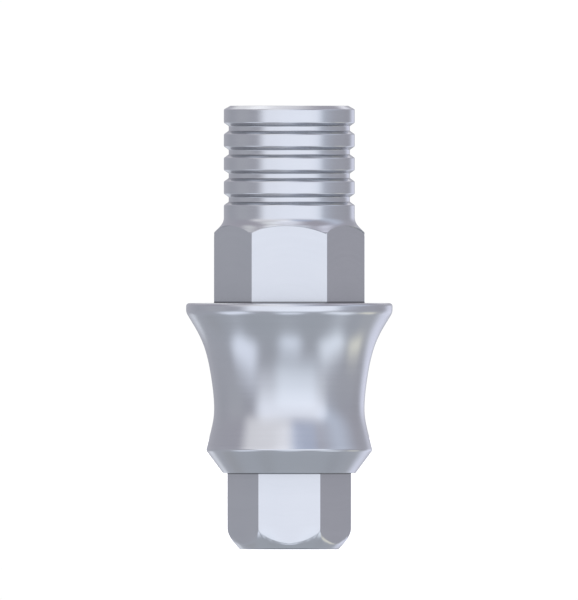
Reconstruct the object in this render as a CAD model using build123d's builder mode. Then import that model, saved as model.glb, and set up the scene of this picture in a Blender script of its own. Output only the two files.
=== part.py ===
"""Abutment base for an internal-hexagon dental implant, one turned and milled piece.

Frame: +Z up the long axis, origin at the centre of the hexagonal end that goes
into the implant. One flat of each hexagon faces -Y, two corners lie on the X axis.
From the bottom: implant hexagon, ledge, sealing bevel, platform edge, waisted gum
collar, flange that carries the crown, index hexagon, 45 degree cone, ringed post.
A stepped screw channel runs through the whole length. All lengths in millimetres.
"""
from build123d import *
import os
from math import cos, radians, sin, sqrt, tan

# ---------------------------------------------------------------- overall
total_height = 10.00          # hexagonal end to the top of the post

# ---------------------------------------------------------------- implant hexagon
hex_flats = 2.42              # across flats, the standard internal connection
hex_turned_r = 1.396          # turned radius that breaks the six corners
hex_end_r = 1.115             # radius of the end where its cone starts
hex_cone_top_z = 0.320        # where the end cone meets the turned radius
hex_cone_blend = 0.54         # rounding between the end cone and the corners
hex_end_break = 0.090         # edge rounding at the end face
ledge_z = 1.718               # flat ledge above the hexagon

# ---------------------------------------------------------------- sealing bevel and platform
ledge_r = 1.495               # outer radius of the ledge
ledge_break = 0.032
platform_r = 1.8750           # bevel and collar lines meet here, before rounding
platform_z = 2.229
platform_blend = 0.080

# ---------------------------------------------------------------- gum collar
# (radius, height) stations of the waist, between the platform and the flange rim
waist_stations = [(1.7790, 2.62), (1.7040, 3.00), (1.7035, 3.38),
                  (1.7580, 3.85), (1.8560, 4.35), (2.0165, 4.80)]
waist_slope_low = -0.27       # change of radius per height at the platform
waist_slope_high = 0.585      # the same under the flange rim

# ---------------------------------------------------------------- crown flange
flange_r = 2.328
rim_low_z = 5.338
flange_z = 5.550              # shoulder that the crown rests on
rim_top_blend = 0.065
rim_low_blend = 0.160

# ---------------------------------------------------------------- index hexagon
index_flats = 2.952           # across flats, the same as the post
index_turned_r = 1.698        # turned radius that breaks the six corners
index_cone_low_z = 7.1400     # 45 degree cone from the corners up to the post
index_arc_z = 7.296           # each flat ends in the arc that its face mill leaves,
index_arc_r = 2.350           # highest a little to one side of the flat's middle
index_arc_off = -0.074
index_cut_half_w = 1.10       # half the width of the cut, past both corners
index_corner_blend = 0.045
post_root_blend = 0.300       # concave rounding between the cone and the post

# ---------------------------------------------------------------- bonding post
post_r = 1.4765
post_chamfer_r = 1.330        # radius of the top face before rounding
post_chamfer_z = 9.918        # where the chamfer leaves the wall of the post
post_top_blend = 0.030

groove_floor_r = 1.3665       # at the middle of the floor
groove_floor_w = 0.104        # width of the floor, along the axis
groove_floor_hollow = 0.003   # the round nose of the tool leaves the floor this hollow
groove_flank_deg = 35.0       # each flank, measured from the plane across the axis
groove_first_z = 7.887        # middle of the lowest groove
groove_pitch = 0.5335
groove_count = 4
groove_mouth_blend = 0.026
groove_floor_blend = 0.022

# ---------------------------------------------------------------- screw channel
shank_bore_r = 0.950          # lets the thread and shank of the retaining screw through
head_bore_r = 1.150           # clears the head and its driver
seat_z = 2.950                # step that the screw head pulls down on
seat_chamfer = 0.150          # conical part of the seat
shank_mouth_break = 0.030
head_mouth_break = 0.060

index_cone_top_z = index_cone_low_z + (index_turned_r - post_r)
groove_floor_edge_r = groove_floor_r + groove_floor_hollow
groove_depth = post_r - groove_floor_edge_r
mill_clear_r = 4.0            # milling cuts run out past every surface


with BuildPart() as abutment_body:
    # 1. The turned blank: the whole outside as one profile, revolved.
    with BuildSketch(Plane.XZ) as blank_profile:
        with BuildLine() as blank_outline:
            lower = Polyline(
                (0, 0),
                (hex_end_r, 0),
                (hex_turned_r, hex_cone_top_z),
                (hex_turned_r, ledge_z),
                (ledge_r, ledge_z),
                (platform_r, platform_z),
            )
            waist = Spline(
                (platform_r, platform_z),
                *waist_stations,
                (flange_r, rim_low_z),
                tangents=[(waist_slope_low, 1), (waist_slope_high, 1)],
            )
            upper = Polyline(
                (flange_r, rim_low_z),
                (flange_r, flange_z),
                (index_turned_r, flange_z),
                (index_turned_r, index_cone_low_z),
                (post_r, index_cone_top_z),
                (post_r, post_chamfer_z),
                (post_chamfer_r, total_height),
                (0, total_height),
                (0, 0),
            )
        make_face()
    revolve(axis=Axis.Z)

    # 2. Roundings that the lathe leaves on the outside, each picked by its circle.
    def turned_edge(radius, height):
        rings = abutment_body.edges().filter_by(GeomType.CIRCLE)
        return rings.filter_by(
            lambda e: abs(e.radius - radius) < 1e-3
            and abs(e.arc_center.Z - height) < 1e-3
        )

    fillet(turned_edge(hex_turned_r, hex_cone_top_z), radius=hex_cone_blend)
    fillet(turned_edge(hex_end_r, 0), radius=hex_end_break)
    fillet(turned_edge(ledge_r, ledge_z), radius=ledge_break)
    fillet(turned_edge(platform_r, platform_z), radius=platform_blend)
    fillet(turned_edge(flange_r, rim_low_z), radius=rim_low_blend)
    fillet(turned_edge(flange_r, flange_z), radius=rim_top_blend)
    fillet(turned_edge(index_turned_r, index_cone_low_z), radius=index_corner_blend)
    fillet(turned_edge(post_r, index_cone_top_z), radius=post_root_blend)
    fillet(turned_edge(post_r, post_chamfer_z), radius=post_top_blend)
    fillet(turned_edge(post_chamfer_r, total_height), radius=post_top_blend)

    # 3. Four retention grooves around the post, straight flanks and a floor that is
    #    very slightly hollow.
    flank_rise = groove_depth * tan(radians(groove_flank_deg))
    over_cut = 0.05
    mouth_half = groove_floor_w / 2 + flank_rise * (1 + over_cut / groove_depth)
    with BuildSketch(Plane.XZ) as groove_profile:
        for i in range(groove_count):
            z = groove_first_z + i * groove_pitch
            with BuildLine():
                Polyline(
                    (groove_floor_edge_r, z + groove_floor_w / 2),
                    (post_r + over_cut, z + mouth_half),
                    (post_r + over_cut, z - mouth_half),
                    (groove_floor_edge_r, z - groove_floor_w / 2),
                )
                ThreePointArc(
                    (groove_floor_edge_r, z - groove_floor_w / 2),
                    (groove_floor_r, z),
                    (groove_floor_edge_r, z + groove_floor_w / 2),
                )
            make_face()
    revolve(axis=Axis.Z, mode=Mode.SUBTRACT)
    for i in range(groove_count):
        z = groove_first_z + i * groove_pitch
        for side in (-1, 1):
            fillet(turned_edge(groove_floor_edge_r, z + side * groove_floor_w / 2),
                   radius=groove_floor_blend)
            fillet(turned_edge(post_r, z + side * (groove_floor_w / 2 + flank_rise)),
                   radius=groove_mouth_blend)

    # 4. Six milled flats of the implant hexagon, up to the ledge.
    with BuildSketch(Plane.XY.offset(-0.5)) as implant_flats:
        Circle(mill_clear_r)
        RegularPolygon(radius=hex_flats / 2, side_count=6, major_radius=False,
                       mode=Mode.SUBTRACT)
    extrude(amount=0.5 + ledge_z, mode=Mode.SUBTRACT)

    # 5. Six milled flats of the index hexagon, from the flange up to an arc on the
    #    cone. The corners of both hexagons lie on the X axis.
    index_planes = []
    for i in range(6):
        a = radians(30 + 60 * i)
        index_planes.append(Plane(
            origin=(index_flats / 2 * cos(a), index_flats / 2 * sin(a), 0),
            x_dir=(-sin(a), cos(a), 0),
            z_dir=(cos(a), sin(a), 0),
        ))
    def arc_height(x):
        return index_arc_z - index_arc_r + sqrt(index_arc_r ** 2 - (x - index_arc_off) ** 2)

    with BuildSketch(*index_planes) as index_flat_outline:
        with BuildLine():
            ThreePointArc(
                (index_cut_half_w, arc_height(index_cut_half_w)),
                (index_arc_off, index_arc_z),
                (-index_cut_half_w, arc_height(-index_cut_half_w)),
            )
            Polyline(
                (-index_cut_half_w, arc_height(-index_cut_half_w)),
                (-index_cut_half_w, flange_z),
                (index_cut_half_w, flange_z),
                (index_cut_half_w, arc_height(index_cut_half_w)),
            )
        make_face()
    extrude(amount=mill_clear_r - index_flats / 2, mode=Mode.SUBTRACT)

    # 6. The screw channel: head bore from the top down to the seat, shank bore through.
    with Locations((0, 0, total_height)):
        CounterBoreHole(
            radius=shank_bore_r,
            counter_bore_radius=head_bore_r,
            counter_bore_depth=total_height - seat_z,
            depth=total_height,
        )
    chamfer(turned_edge(shank_bore_r, seat_z), length=seat_chamfer)
    chamfer(turned_edge(shank_bore_r, 0), length=shank_mouth_break)
    chamfer(turned_edge(head_bore_r, total_height), length=head_mouth_break)

abutment_body.part.label = "abutment_body"

os.makedirs("parts", exist_ok=True)
export_step(abutment_body.part, "parts/abutment_body.step")

box = abutment_body.part.bounding_box()
print("box", box.min, box.max)
print("volume mm3", abutment_body.part.volume, "solids", len(abutment_body.part.solids()),
      "valid", abutment_body.part.is_valid)
print("thinnest post wall", groove_floor_r - head_bore_r,
      "thinnest hexagon wall", hex_flats / 2 - shank_bore_r)
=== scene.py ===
"""Looks of the abutment base: fine mesh, titanium finish, soft studio, camera.

Everything is in metres in the part's own frame: +Z up the long axis, origin at the
centre of the hexagonal end, one flat of each hexagon facing -Y.
"""
from math import acos, cos, pi, radians, sin, tan

import bpy
import numpy as np
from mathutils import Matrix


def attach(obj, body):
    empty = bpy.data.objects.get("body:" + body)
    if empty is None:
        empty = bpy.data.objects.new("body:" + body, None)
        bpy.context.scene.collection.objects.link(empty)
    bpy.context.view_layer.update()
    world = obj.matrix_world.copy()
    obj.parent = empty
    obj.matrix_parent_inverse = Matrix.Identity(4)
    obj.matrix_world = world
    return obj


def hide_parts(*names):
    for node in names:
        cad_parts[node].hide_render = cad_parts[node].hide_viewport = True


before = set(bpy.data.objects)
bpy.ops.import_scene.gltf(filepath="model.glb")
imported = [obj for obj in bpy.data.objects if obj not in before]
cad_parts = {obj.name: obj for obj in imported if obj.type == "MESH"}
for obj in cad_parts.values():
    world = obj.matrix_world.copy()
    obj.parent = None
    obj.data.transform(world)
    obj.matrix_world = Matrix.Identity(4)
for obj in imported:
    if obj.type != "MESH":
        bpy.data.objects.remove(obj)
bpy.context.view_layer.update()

MM = 0.001

# ------------------------------------------------------------------ dimensions, mm
TOTAL = 10.00
HEX_AF2 = 2.42 / 2            # implant hexagon, half across flats
HEX_R = 1.396                 # turned radius over its corners
END_R, CONE_Z = 1.115, 0.320  # end cone: radius at the end face, height at the corners
LEDGE_R, LEDGE_Z = 1.495, 1.718
PLAT_R, PLAT_Z = 1.8750, 2.229
FLANGE_R, RIM_Z, FLANGE_Z = 2.328, 5.338, 5.550
INDEX_AF2 = 2.952 / 2         # index hexagon, half across flats
INDEX_R, INDEX_CONE_Z = 1.698, 7.1400
ARC_Z, ARC_R, ARC_OFF = 7.296, 2.350, -0.074      # the arc that ends each index flat
POST_R, POST_TOP_R, POST_TOP_Z = 1.4765, 1.330, 9.918
FLOOR_R, FLOOR_W = 1.3665, 0.104
GROOVE_Z, PITCH, GROOVES = 7.887, 0.5335, 4
FLANK = radians(35.0)
SHANK_R, HEAD_R, SEAT_Z, SEAT_C = 0.950, 1.150, 2.950, 0.150
WAIST = [(1.8750, 2.229), (1.7790, 2.62), (1.7040, 3.00), (1.7035, 3.38),
         (1.7580, 3.85), (1.8560, 4.35), (2.0165, 4.80), (2.328, 5.338)]
WAIST_SLOPES = (-0.27, 0.585)


# ------------------------------------------------------------------ profile helpers
def spline(points, slopes):
    """Clamped cubic through (r, z) stations, r as a function of z."""
    r = np.array([p[0] for p in points], float)
    z = np.array([p[1] for p in points], float)
    n = len(z)
    h = np.diff(z)
    a = np.zeros((n, n))
    b = np.zeros(n)
    a[0, 0], b[0] = 1, slopes[0]
    a[-1, -1], b[-1] = 1, slopes[1]
    for i in range(1, n - 1):
        a[i, i - 1], a[i, i], a[i, i + 1] = 1 / h[i - 1], 2 / h[i - 1] + 2 / h[i], 1 / h[i]
        b[i] = 3 * ((r[i] - r[i - 1]) / h[i - 1] ** 2 + (r[i + 1] - r[i]) / h[i] ** 2)
    m = np.linalg.solve(a, b)

    def at(q):
        q = np.asarray(q, float)
        i = np.clip(np.searchsorted(z, q) - 1, 0, n - 2)
        t = (q - z[i]) / h[i]
        return ((2 * t**3 - 3 * t**2 + 1) * r[i] + (t**3 - 2 * t**2 + t) * h[i] * m[i]
                + (-2 * t**3 + 3 * t**2) * r[i + 1] + (t**3 - t**2) * h[i] * m[i + 1])
    return at


def rounded(corners):
    """(r, z, radius, steps) corners of an open profile to points, corners rounded by arcs."""
    out = []
    for k, (r, z, rad, steps) in enumerate(corners):
        if rad == 0 or k in (0, len(corners) - 1):
            out.append((r, z))
            continue
        p = np.array([r, z])
        u = np.array(corners[k - 1][:2]) - p
        v = np.array(corners[k + 1][:2]) - p
        u, v = u / np.linalg.norm(u), v / np.linalg.norm(v)
        half = acos(float(np.clip(u @ v, -1, 1))) / 2
        t = rad / tan(half)
        mid = (u + v) / np.linalg.norm(u + v)
        c = p + mid * rad / sin(half)
        a, b = p + u * t - c, p + v * t - c
        sweep = acos(float(np.clip(a @ b / rad**2, -1, 1)))
        for i in range(steps + 1):
            w = i / steps
            q = (sin((1 - w) * sweep) * a + sin(w * sweep) * b) / sin(sweep)
            out.append(tuple(c + q))
    return out


def smin(a, b, k):
    """Smallest of two, blended over k."""
    k = np.maximum(k, 1e-9)
    h = np.maximum(k - np.abs(a - b), 0) / k
    return np.minimum(a, b) - h * h * k / 4


def smax(a, b, k):
    return -smin(-a, -b, k)


# ------------------------------------------------------------------ columns round the axis
# angle from a hexagon corner, in degrees: close together at the corner, even on the flats
near = [0.0, 0.22, 0.44, 0.66, 0.90, 1.20, 1.60, 2.20, 3.00]
even = list(np.linspace(3.0, 30.0, 26)[1:])
half_sector = near + even
sector = [-a for a in half_sector[::-1][:-1]] + half_sector[:-1]      # -30 (flat) .. +30
COLS = np.radians(np.concatenate([np.array(sector) + 60 * k for k in range(6)]))
FROM_CORNER = np.radians(np.concatenate([np.abs(sector)] * 6))
NC = len(COLS)


def hexagon(af2, r_turned, k):
    """Radius of a hexagon whose corners the lathe has broken, at every column."""
    return smin(af2 / np.cos(pi / 6 - FROM_CORNER), np.full(NC, r_turned), k)


HEX_PLAN = hexagon(HEX_AF2, HEX_R, 0.010)
INDEX_PLAN = hexagon(INDEX_AF2, INDEX_R, 0.010)


def end_cone(z):
    slope = (HEX_R - END_R) / CONE_Z
    cone = END_R + slope * z
    return smin(cone, np.full_like(cone, HEX_R + 0.002), 0.160)


def index_cone(z):
    cone = INDEX_R - (z - INDEX_CONE_Z)
    cone = smax(cone, np.full_like(cone, POST_R), 0.112)
    return smin(cone, np.full_like(cone, INDEX_R), 0.020)


def crossing(f, plan, lo, hi, rising):
    """Height where the turned shape f meets the milled plan, at every column."""
    a, b = np.full(NC, lo), np.full(NC, hi)
    for _ in range(50):
        m = (a + b) / 2
        inside = (f(m) < plan) if rising else (f(m) > plan)
        a, b = np.where(inside, m, a), np.where(inside, b, m)
    return (a + b) / 2


TURNED, MILLED, BORED = 0, 1, 2
rows = []            # each: radius, height, finish above it, recess (painted shade and dullness), edge (wear and painted highlight), painted corner shade


def ring(r, z, recess=0.0, edge=0.0, painted_corner_shade=0.0):
    rows.append((np.broadcast_to(np.asarray(r, float), (NC,)).copy(),
                 np.broadcast_to(np.asarray(z, float), (NC,)).copy(), finish, recess, edge, painted_corner_shade))


# ------------------------------------------------------------------ rows, bottom mouth outwards and up
# end face and the small rounding at its rim
finish = TURNED
for r, z in rounded([(SHANK_R + 0.034, 0, 0, 0), (END_R, 0, 0.090, 5), (END_R + 0.088, 0.10, 0, 0)])[:-1]:
    ring(r, z, edge=0.6 if z > 0 else 0.0)

# implant hexagon: cone and flats, rows follow the line where they meet
low, high = 0.050, 0.700
meet = crossing(end_cone, HEX_PLAN - 0.002, low, 0.52, True)


# how far the edge between the end cone and a flat is rounded, from the corner to mid-flat
SOFT = np.interp(np.degrees(FROM_CORNER), [0, 1.5, 5, 12, 21, 30],
                 [0.008, 0.016, 0.090, 0.110, 0.062, 0.034])


def implant(z):
    return smin(end_cone(z), HEX_PLAN, SOFT)


fine = [-0.050, -0.034, -0.022, -0.013, -0.006, 0.0, 0.006, 0.013, 0.022, 0.034, 0.050]
for w in np.linspace(0, 1, 8)[:-1]:
    z = low + (meet + fine[0] - low) * w
    ring(implant(z), z)
for d in fine:
    finish = TURNED if d < 0 else MILLED
    ring(implant(meet + d), meet + d, edge=max(0.0, 1 - abs(d) / 0.02) * 0.6)
for w in np.linspace(0, 1, 4)[1:]:
    z = meet + fine[-1] + (high - meet - fine[-1]) * w
    ring(implant(z) if w < 1 else HEX_PLAN, z)
ring(HEX_PLAN, 1.20)
# the rows into the inner corner under the ledge carry painted shade in their recess and corner values
ring(HEX_PLAN, LEDGE_Z - 0.160, recess=0.18)
ring(HEX_PLAN, LEDGE_Z - 0.030, recess=0.4)
ring(HEX_PLAN, LEDGE_Z - 0.018, recess=0.8, painted_corner_shade=0.9)
ring(HEX_PLAN + 0.0035, LEDGE_Z - 0.0035, recess=1.0, painted_corner_shade=1.0)
finish = TURNED
ring(HEX_PLAN + 0.012, LEDGE_Z, recess=1.0, painted_corner_shade=1.0)

# ledge, bevel, platform edge
prof = rounded([(LEDGE_R - 0.05, LEDGE_Z, 0, 0), (LEDGE_R, LEDGE_Z, 0.032, 4),
                (PLAT_R, PLAT_Z, 0, 0)])
for k, (r, z) in enumerate(prof[:-1]):
    ring(r, z, recess=0.6 if k == 0 else 0.0, edge=0.0 if k == 0 else 0.4, painted_corner_shade=0.8 if k == 0 else 0.0)
waist = spline(WAIST, WAIST_SLOPES)
u = np.array([PLAT_R - LEDGE_R, PLAT_Z - LEDGE_Z])
for w in (0.25, 0.5, 0.75):
    ring(LEDGE_R + u[0] * w, LEDGE_Z + u[1] * w)
z1 = PLAT_Z + 0.11
prof = rounded([(LEDGE_R, LEDGE_Z, 0, 0), (PLAT_R, PLAT_Z, 0.080, 8), (float(waist(z1)), z1, 0, 0)])
for r, z in prof[1:-1]:
    ring(r, z, edge=0.6)
z2 = RIM_Z - 0.080
for z in np.linspace(z1, z2, 34):
    ring(float(waist(z)), z)
prof = rounded([(float(waist(z2)), z2, 0, 0), (FLANGE_R, RIM_Z, 0.235, 6),
                (FLANGE_R, FLANGE_Z, 0.074, 6), (2.0, FLANGE_Z, 0, 0)])
for r, z in prof[1:]:
    ring(r, z, edge=0.3 if r > 2.2 else 0.0)

# shoulder in to the index hexagon, a small root rounding, flats up to the cone
# the root rows carry painted shade in their recess and corner values, darkest in the inner corner
ring(INDEX_PLAN + 0.090, FLANGE_Z, recess=0.3)
ring(INDEX_PLAN + 0.040, FLANGE_Z, recess=0.8, painted_corner_shade=0.8)
ring(INDEX_PLAN + 0.016, FLANGE_Z, recess=1.0, painted_corner_shade=1.0)
ring(INDEX_PLAN + 0.0047, FLANGE_Z + 0.0047, recess=1.0, painted_corner_shade=1.0)
finish = MILLED
ring(INDEX_PLAN, FLANGE_Z + 0.016, recess=0.9, painted_corner_shade=1.0)
ring(INDEX_PLAN, FLANGE_Z + 0.030, recess=0.85, painted_corner_shade=0.85)
ring(INDEX_PLAN, FLANGE_Z + 0.046, recess=0.65)
ring(INDEX_PLAN, FLANGE_Z + 0.160, recess=0.38)
ring(INDEX_PLAN, 6.10, recess=0.12)
low, high = 6.95, 7.52
# each flat runs up to its own arc, or to the cone where that comes first
across = INDEX_AF2 * np.tan(np.mod(COLS, pi / 3) - pi / 6)
arc = ARC_Z - ARC_R + np.sqrt(ARC_R**2 - (across - ARC_OFF) ** 2)
on_flat = FROM_CORNER > radians(0.5)
arc = np.interp(COLS, COLS[on_flat], arc[on_flat])
meet = smin(arc, crossing(index_cone, INDEX_PLAN - 0.001, 7.0, 7.445, False), 0.010)


def index(z, d):
    """Flat below the arc, cone above it, a small step where the arc stands proud of the cone."""
    t = np.clip(d / 0.006 + 0.5, 0, 1)
    t = t * t * (3 - 2 * t)
    cone = index_cone(z)
    return smin(cone, INDEX_PLAN, 0.012) * (1 - t) + cone * t


fine = [-0.040, -0.020, -0.009, -0.0045, -0.003, -0.001, 0.001, 0.003, 0.0045, 0.009, 0.020, 0.040]
ring(INDEX_PLAN, low)
ring(INDEX_PLAN, low + (meet + fine[0] - low) * 0.6)
for d in fine:
    finish = MILLED if d < 0 else TURNED
    # a little painted shade on the step at each arc
    ring(index(meet + d, d), meet + d, recess=0.12 if abs(d) < 0.004 else 0.0)
for w in np.linspace(0, 1, 13)[1:]:
    z = meet + fine[-1] + (high - meet - fine[-1]) * w
    ring(index_cone(z) if w < 1 else POST_R, z)

# post with its grooves, then the top
rise = (POST_R - FLOOR_R) * tan(FLANK)
prof = [(POST_R, 7.60, 0, 0)]
for i in range(GROOVES):
    zc = GROOVE_Z + i * PITCH
    a, b = FLOOR_W / 2, FLOOR_W / 2 + rise
    prof += [(POST_R, zc - b, 0.034, 4), (FLOOR_R, zc - a, 0.022, 3),
             (FLOOR_R, zc + a, 0.022, 3), (POST_R, zc + b, 0.034, 4)]
prof += [(POST_R, POST_TOP_Z, 0.030, 4), (POST_TOP_R, TOTAL, 0.030, 4),
         (HEAD_R + 0.060, TOTAL, 0.008, 2)]
for r, z in rounded(prof + [(HEAD_R, TOTAL - 0.060, 0, 0)])[1:-1]:
    deep = min(1.0, max(0.0, (POST_R - 0.036 - r) / 0.055)) if z < 9.8 else 0.0
    if abs(r - FLOOR_R) < 0.003:
        deep = 0.1                   # the floors get as little painted shade and dullness as the bands, the flanks more
    ring(r, z, recess=deep, edge=0.9 if POST_R - 0.014 < r < POST_R - 1e-4 else 0.4 if z > POST_TOP_Z else 0.0)

# mouth and down the screw channel to the bottom mouth
finish = BORED
prof = rounded([(HEAD_R + 0.060, TOTAL, 0, 0), (HEAD_R, TOTAL - 0.060, 0.008, 2), (HEAD_R, 9.6, 0, 0)])
for r, z in prof[1:]:
    ring(r, z)
prof = rounded([(HEAD_R, 9.0, 0, 0), (HEAD_R, SEAT_Z, 0.020, 2),
                (SHANK_R + SEAT_C, SEAT_Z, 0.008, 2), (SHANK_R, SEAT_Z - SEAT_C, 0.010, 2),
                (SHANK_R, 0.030, 0.008, 2), (SHANK_R + 0.030, 0, 0.006, 2), (SHANK_R + 0.034, 0, 0, 0)])
for z in (8.0, 6.5, 5.0, 3.6):
    ring(HEAD_R, z)
for r, z in prof[1:-1]:
    ring(r, z)
    if abs(z - (SEAT_Z - SEAT_C)) < 0.02 and abs(r - SHANK_R) < 1e-6:
        ring(SHANK_R, 1.4)

# ------------------------------------------------------------------ mesh
NR = len(rows)
R = np.array([q[0] for q in rows])
Z = np.array([q[1] for q in rows])
xyz = np.stack([R * np.cos(COLS), R * np.sin(COLS), Z], axis=2).reshape(-1, 3) * MM
i = np.arange(NR)[:, None]
j = np.arange(NC)[None, :]
i2, j2 = (i + 1) % NR, (j + 1) % NC
# rows run from the bottom mouth outwards and up, so this order faces outwards
quads = np.stack([i * NC + j, i * NC + j2, i2 * NC + j2, i2 * NC + j], axis=2).reshape(-1, 4)

mesh = bpy.data.meshes.new("titanium_base")
mesh.from_pydata(xyz.tolist(), [], quads.tolist())
mesh.update()
mesh.polygons.foreach_set("use_smooth", np.ones(len(mesh.polygons), bool))
mesh.polygons.foreach_set("material_index", np.repeat([q[2] for q in rows], NC).astype(np.int32))

# area-weighted vertex normals: flats stay flat up to their roundings
p = xyz[quads]
fn = np.cross(p[:, 2] - p[:, 0], p[:, 3] - p[:, 1])
vn = np.zeros_like(xyz)
for k in range(4):
    np.add.at(vn, quads[:, k], fn)
vn /= np.linalg.norm(vn, axis=1, keepdims=True)
mesh.normals_split_custom_set_from_vertices(vn.tolist())

# what the finishes follow: distance across a flat, painted shade in recesses and inner corners, worn outer edges
# with a painted highlight
side = np.broadcast_to(np.abs(INDEX_AF2 * np.tan(np.mod(COLS, pi / 3) - pi / 6)), (NR, NC))
corner = np.exp(-(FROM_CORNER / radians(0.6)) ** 2)
milled = np.array([q[2] == MILLED for q in rows])[:, None]
recess = np.broadcast_to(np.array([q[3] for q in rows])[:, None], (NR, NC))
edge = np.maximum(np.array([q[4] for q in rows])[:, None], milled * corner[None, :] * 0.7)
painted_corner_shade = np.broadcast_to(np.array([q[5] for q in rows])[:, None], (NR, NC))
for name, values in (("across", side), ("recess", recess), ("edge", edge), ("painted_corner_shade", painted_corner_shade)):
    mesh.attributes.new(name, "FLOAT", "POINT").data.foreach_set(
        "value", np.ascontiguousarray(values, dtype=np.float32).reshape(-1))
print("rows", NR, "columns", NC, "triangles", 2 * len(quads))

base = bpy.data.objects.new("titanium_base", mesh)
bpy.context.scene.collection.objects.link(base)
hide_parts("abutment_body")
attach(base, "root")


# ------------------------------------------------------------------ titanium finishes
class Nodes:
    """Small helpers that build one node tree."""

    def __init__(self, tree):
        self.tree = tree

    def put(self, kind, values, outs=0, **props):
        n = self.tree.nodes.new(kind)
        for k, v in props.items():
            setattr(n, k, v)
        for k, v in values.items():
            if v is None:
                continue
            if isinstance(v, bpy.types.NodeSocket):
                self.tree.links.new(v, n.inputs[k])
            else:
                n.inputs[k].default_value = v
        return n.outputs[outs]

    def maths(self, op, a, b=None, c=None):
        return self.put("ShaderNodeMath", {0: a, 1: b, 2: c}, operation=op)

    def vector(self, op, a, b=None, c=None, outs=0):
        return self.put("ShaderNodeVectorMath", {0: a, 1: b, 2: c}, outs, operation=op)

    def noise(self, way, detail, rough, scale=1.0):
        return self.put("ShaderNodeTexNoise", {"Vector": way, "Scale": scale, "Detail": detail,
                                               "Roughness": rough}, "Fac")

    def spread(self, value, low, high):
        """A texture's middle range, 0.3 to 0.7, to low .. high."""
        return self.put("ShaderNodeMapRange", {"Value": value, "From Min": 0.3, "From Max": 0.7,
                                               "To Min": low, "To Max": high}, "Result")


def titanium(name, pitch, groove_um, rough, grain_um, tint, marks):
    """Satin titanium cut by a tool: lines of the given pitch in mm, height in micrometres."""
    mat = bpy.data.materials.new(name)
    mat.use_nodes = True
    n = Nodes(mat.node_tree)
    bsdf = mat.node_tree.nodes["Principled BSDF"]
    bsdf.inputs["Metallic"].default_value = 1.0

    place = n.put("ShaderNodeTexCoord", {}, "Object")
    mm = n.vector("SCALE", place)
    mm.node.inputs["Scale"].default_value = 1000.0
    split = n.put("ShaderNodeSeparateXYZ", {0: mm}, 0).node
    x, y, z = split.outputs
    if marks == "round":
        # lines round the axis, on walls, cones and end faces alike
        r = n.maths("SQRT", n.maths("ADD", n.maths("MULTIPLY", x, x), n.maths("MULTIPLY", y, y)))
        run = n.maths("MULTIPLY_ADD", r, 1.37, z)
    else:
        # arcs of the face mill, on each flat
        u = n.put("ShaderNodeAttribute", {}, "Fac", attribute_name="across")
        v = n.maths("SUBTRACT", z, marks)
        run = n.maths("SQRT", n.maths("ADD", n.maths("MULTIPLY", u, u), n.maths("MULTIPLY", v, v)))
    along = n.maths("MULTIPLY", run, 1.0 / pitch)
    way = n.put("ShaderNodeCombineXYZ", {0: n.maths("MULTIPLY", x, 0.22), 1: n.maths("MULTIPLY", y, 0.22), 2: along})
    lines = n.noise(way, 3.0, 0.62)
    broad = n.noise(n.put("ShaderNodeCombineXYZ", {0: n.maths("MULTIPLY", x, 0.35),
                                                   1: n.maths("MULTIPLY", y, 0.35),
                                                   2: n.maths("MULTIPLY", run, 2.6)}), 2.0, 0.5)
    cloud = n.noise(mm, 3.0, 0.55, 0.9)
    grain = n.noise(mm, 2.0, 0.6, 55.0)
    recess = n.put("ShaderNodeAttribute", {}, "Fac", attribute_name="recess")
    edge = n.put("ShaderNodeAttribute", {}, "Fac", attribute_name="edge")
    painted_corner_shade = n.put("ShaderNodeAttribute", {}, "Fac", attribute_name="painted_corner_shade")

    # roughness: a satin value, a little up and down along the cuts and in soft clouds,
    # duller where the tool can't be wiped clean, smoother on handled edges
    value = n.maths("ADD", n.spread(lines, rough - 0.018, rough + 0.018), n.spread(cloud, -0.014, 0.014))
    value = n.maths("ADD", value, n.spread(broad, -0.010, 0.010))
    value = n.maths("MULTIPLY_ADD", recess, 0.045, value)
    value = n.maths("MULTIPLY_ADD", edge, -0.060, value)
    mat.node_tree.links.new(value, bsdf.inputs["Roughness"])

    # colour: titanium grey, barely warmer and cooler from place to place, with painted shade darker in
    # recesses and darkest in the inner corners at the foot of the flats
    ramp = n.put("ShaderNodeMix", {"Factor": n.spread(cloud, 0.0, 1.0)}, data_type="RGBA").node
    ramp.inputs[6].default_value = tuple(c * (1 + t) for c, t in zip(tint, (-0.016, -0.013, -0.008))) + (1,)
    ramp.inputs[7].default_value = tuple(c * (1 + t) for c, t in zip(tint, (0.014, 0.013, 0.012))) + (1,)
    # painted shade: recesses (groove flanks, the feet of the flats, the arc step) are darkened by up to 17% in the
    # colour
    shade = n.maths("MULTIPLY", n.spread(lines, 0.988, 1.012), n.maths("MULTIPLY_ADD", recess, -0.17, 1.0))
    # painted highlight: outer edges are up to 4.5% brighter in the colour, on top of their real smoother, worn
    # roughness
    shade = n.maths("MULTIPLY", shade, n.maths("MULTIPLY_ADD", edge, 0.045, 1.0))
    # painted shade: the inner corners at the foot of the index flats and under the ledge are darkened by up to two
    # thirds in the colour
    shade = n.maths("MULTIPLY", shade, n.maths("MULTIPLY_ADD", painted_corner_shade, -0.66, 1.0))
    colour = n.vector("SCALE", ramp.outputs[2])
    mat.node_tree.links.new(shade, colour.node.inputs["Scale"])
    mat.node_tree.links.new(colour, bsdf.inputs["Base Color"])

    # relief: the cutting lines, then a fine grain over them
    bump = n.put("ShaderNodeBump", {"Height": lines, "Strength": 1.0, "Distance": groove_um * 1e-6}).node
    over = n.put("ShaderNodeBump", {"Height": grain, "Strength": 1.0, "Distance": grain_um * 1e-6,
                                    "Normal": bump.outputs[0]}).node
    mat.node_tree.links.new(over.outputs[0], bsdf.inputs["Normal"])
    base.data.materials.append(mat)


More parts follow.
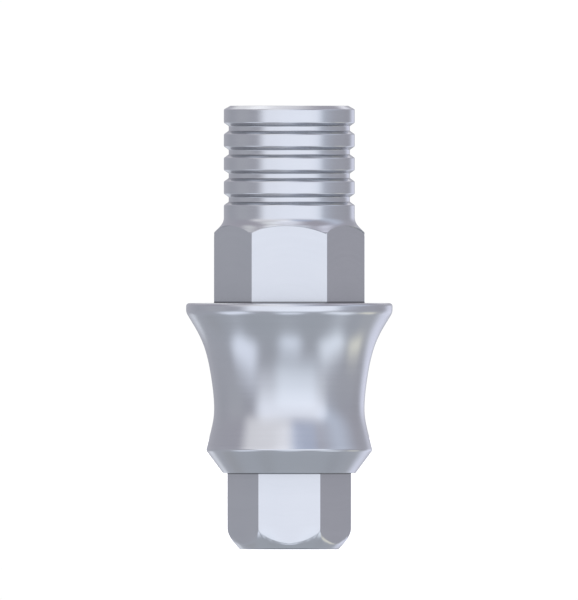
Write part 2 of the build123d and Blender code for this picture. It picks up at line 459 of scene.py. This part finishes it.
TITANIUM = (0.620, 0.635, 0.660)
titanium("titanium_turned", 0.042, 0.30, 0.195, 0.05, TITANIUM, "round")
titanium("titanium_milled", 0.060, 0.22, 0.185, 0.05, (0.614, 0.628, 0.651), ARC_Z - ARC_R)
titanium("titanium_bored", 0.080, 0.90, 0.270, 0.10, (0.590, 0.604, 0.628), "round")

# ------------------------------------------------------------------ studio
# Soft boxes round the object. Each is a patch of the surrounding light, given by the
# compass angle it stands at (0 in front of the object, at -Y, and 90 at its right, at
# +X), its height above the horizon, half its width and half its height, its tilt, how
# far its edge fades (all in degrees) and its light, which adds to the light of the room.
ROOM = (0.496, 0.499, 0.554)
ROOM_UP = (-0.009, -0.038, -0.035)       # added towards the zenith, taken away below
BOXES = [
    # name            angle  height half_w half_h tilt  fade   light
    ("front",            3.1,   1.3,  54.1,  14.8,   1.6, 10.7, (0.648, 0.675, 0.729)),
    ("front_low",       11.1, -15.9,  28.7,   7.9,   2.7, 13.6, (0.390, 0.436, 0.486)),
    ("upper_left",     -34.5,  26.2,  37.3,  11.8,   5.2, 11.3, (0.500, 0.495, 0.481)),
    ("upper_right",     83.3,  23.2,  35.5,  11.3,  28.7, 15.0, (0.224, 0.285, 0.362)),
    ("low_left",       -70.3, -29.3,  20.7,  12.4,  10.0,  9.9, (0.570, 0.604, 0.692)),
    ("low_right",       66.9, -33.6,  20.6,  11.2, -11.2, 10.8, (0.584, 0.624, 0.680)),
    ("low_middle",       1.2, -42.4,  15.8,  10.1,   4.5, 11.4, (0.504, 0.545, 0.625)),
    ("low_warm",       107.0, -24.2,  10.6,   5.1,   7.1,  9.1, (0.625, 0.584, 0.400)),
    ("low_haze_right", 126.1, -21.0,  15.6,  10.4,   0.0,  9.9, (0.036, 0.032, 0.016)),
    ("back_right",     150.1, -11.2,  12.9,  17.5, -20.0,  8.9, (0.411, 0.422, 0.516)),
    ("back_left",     -161.3, -16.5,  13.1,   4.3,  -7.7,  5.6, (0.400, 0.423, 0.451)),
    ("top_middle",      22.3,  28.4,  19.2,   6.9,   0.1,  9.4, (0.070, 0.145, 0.265)),
    ("left_fill",      -91.0,   0.0,  15.0,  11.0,   0.0,  7.0, (0.036, 0.040, 0.032)),
    ("left_dim",      -125.0,   0.0,   8.0,  11.0,   0.0,  7.0, (-0.020, -0.014, -0.020)),
    ("right_dim",      123.0,   0.0,   9.0,  11.0,   0.0,  8.0, (-0.028, -0.034, -0.038)),
]
# Round overhead lights: compass angle and height of the middle, half angle, fade, light.
DOMES = [
    ("over_front",    -2.5,  50.0,  19.2, 11.4, (0.54, 0.57, 0.62)),
    ("over_left",    -45.1,  52.2,  11.9,  7.6, (0.52, 0.55, 0.52)),
    ("zenith_front",   0.0,  71.5,   6.0,  6.0, (0.27, 0.28, 0.29)),
    ("zenith",        58.7,  78.9,   9.7,  7.8, (0.44, 0.50, 0.55)),
    ("zenith_left",  -69.1,  77.9,  11.7,  5.4, (0.84, 0.88, 0.88)),
    ("left_high",   -116.9,  54.7,   6.5,  6.4, (0.47, 0.50, 0.46)),
    ("right_high",   111.0,  58.4,   7.3,  6.7, (0.55, 0.58, 0.67)),
    ("back_high",   -169.4,  38.5,  15.2,  7.2, (0.52, 0.53, 0.50)),
    ("back_top",    -173.1,  56.7,  11.8,  7.6, (0.46, 0.47, 0.46)),
    ("back_left_up", -151.0, 47.0,   7.0,  7.0, (0.38, 0.38, 0.38)),
    ("back_right_up", 165.0, 24.0,   6.0,  6.0, (0.62, 0.62, 0.64)),
    ("under",        180.0, -64.0,  19.0,  8.0, (-0.27, -0.27, -0.29)),
    ("under_left",  -159.0, -41.0,   8.0,  7.0, (-0.20, -0.20, -0.22)),
    ("under_right",  159.0, -41.0,   8.0,  7.0, (-0.20, -0.20, -0.22)),
    ("bevel_left",  -125.0, -40.0,   9.0,  7.0, (-0.032, -0.040, -0.058)),
    ("bevel_low",    -66.0, -66.0,   7.0,  6.0, (-0.028, -0.034, -0.044)),
    ("bevel_right",  104.0, -51.0,   7.0,  7.0, (-0.036, -0.040, -0.044)),
]

world = bpy.data.worlds.new("studio")
bpy.context.scene.world = world
world.use_nodes = True
wt = world.node_tree
wt.nodes.clear()
w = Nodes(wt)


def fade(value, soft):
    """1 where value is under -soft, 0 over +soft, a smooth edge between."""
    return w.put("ShaderNodeMapRange", {"Value": value, "From Min": soft, "From Max": -soft,
                                        "To Min": 0.0, "To Max": 1.0}, "Result",
                 interpolation_type="SMOOTHSTEP")


way = w.put("ShaderNodeTexCoord", {}, "Generated")
sx, sy, sz = w.put("ShaderNodeSeparateXYZ", {0: way}).node.outputs
angle = w.maths("DEGREES", w.maths("ARCTAN2", sx, w.maths("MULTIPLY", sy, -1.0)))
height = w.maths("DEGREES", w.maths("ARCSINE", sz))
light = w.vector("MULTIPLY_ADD", sz, ROOM_UP, ROOM)
for name, az0, el0, hw, hh, tilt, soft, colour in BOXES:
    off = w.maths("WRAP", w.maths("SUBTRACT", angle, az0), 180.0, -180.0)
    up = w.maths("SUBTRACT", height, el0)
    c, s = cos(radians(tilt)), sin(radians(tilt))
    u = w.maths("ADD", w.maths("MULTIPLY", off, c), w.maths("MULTIPLY", up, s))
    v = w.maths("SUBTRACT", w.maths("MULTIPLY", up, c), w.maths("MULTIPLY", off, s))
    r = 0.9 * min(hw, hh)
    u = w.maths("MAXIMUM", w.maths("SUBTRACT", w.maths("ABSOLUTE", u), hw - r), 0.0)
    v = w.maths("MAXIMUM", w.maths("SUBTRACT", w.maths("ABSOLUTE", v), hh - r), 0.0)
    out = w.maths("SQRT", w.maths("ADD", w.maths("MULTIPLY", u, u), w.maths("MULTIPLY", v, v)))
    light = w.vector("MULTIPLY_ADD", fade(w.maths("SUBTRACT", out, r), soft), colour, light)
for name, az0, el0, half, soft, colour in DOMES:
    az0, el0 = radians(az0), radians(el0)
    mid = (sin(az0) * cos(el0), -cos(az0) * cos(el0), sin(el0))
    away = w.maths("DEGREES", w.maths("ARCCOSINE", w.vector("DOT_PRODUCT", way, mid, outs=1)))
    light = w.vector("MULTIPLY_ADD", fade(w.maths("SUBTRACT", away, half), soft), colour, light)

studio = wt.nodes.new("ShaderNodeBackground")
wt.links.new(light, studio.inputs["Color"])
backdrop = wt.nodes.new("ShaderNodeBackground")
backdrop.inputs["Color"].default_value = (1, 1, 1, 1)
backdrop.inputs["Strength"].default_value = 1.02
path = wt.nodes.new("ShaderNodeLightPath")
mix = wt.nodes.new("ShaderNodeMixShader")
wt.links.new(path.outputs["Is Camera Ray"], mix.inputs[0])
wt.links.new(studio.outputs[0], mix.inputs[1])
wt.links.new(backdrop.outputs[0], mix.inputs[2])
wout = wt.nodes.new("ShaderNodeOutputWorld")
wt.links.new(mix.outputs[0], wout.inputs["Surface"])

# ------------------------------------------------------------------ floor
floor_mesh = bpy.data.meshes.new("floor")
F = 1.2
floor_mesh.from_pydata([(-F, -F, 0), (F, -F, 0), (F, F, 0), (-F, F, 0)], [], [(0, 1, 2, 3)])
floor = bpy.data.objects.new("floor", floor_mesh)
bpy.context.scene.collection.objects.link(floor)
floor_mat = bpy.data.materials.new("pale_floor")
floor_mat.use_nodes = True
fb = floor_mat.node_tree.nodes["Principled BSDF"]
fb.inputs["Base Color"].default_value = (0.90, 0.90, 0.90, 1)
fb.inputs["Roughness"].default_value = 0.9
fb.inputs["Specular IOR Level"].default_value = 0.1
floor_mesh.materials.append(floor_mat)
floor.visible_glossy = False

key_data = bpy.data.lights.new("overhead", "SUN")
key_data.energy = 2.6
key_data.angle = radians(60)
key = bpy.data.objects.new("overhead", key_data)
key.location = (0, 0, 0.05)
key.visible_glossy = False
bpy.context.scene.collection.objects.link(key)

# ------------------------------------------------------------------ camera
cam_data = bpy.data.cameras.new("camera")
cam = bpy.data.objects.new("camera", cam_data)
bpy.context.scene.collection.objects.link(cam)
bpy.context.scene.camera = cam
ELEV = radians(0.12)
PX = 0.02255                         # mm in one pixel of the 578 x 600 frame
cam_data.type = "ORTHO"
cam_data.ortho_scale = 600 * PX * MM
# the long axis stands 0.3 px right of the frame's middle, the end face 249.2 px below it
mid_x = -(289.3 - 289.0) * PX
mid_z = (549.2 - 300.0) * PX / cos(ELEV)
dist = 200.0
cam.location = (mid_x * MM, -dist * cos(ELEV) * MM, (mid_z + dist * sin(ELEV)) * MM)
cam.rotation_euler = (pi / 2 - ELEV, 0, 0)
cam_data.clip_start, cam_data.clip_end = 0.001, 3.0
bpy.context.scene.view_settings.view_transform = "Standard"
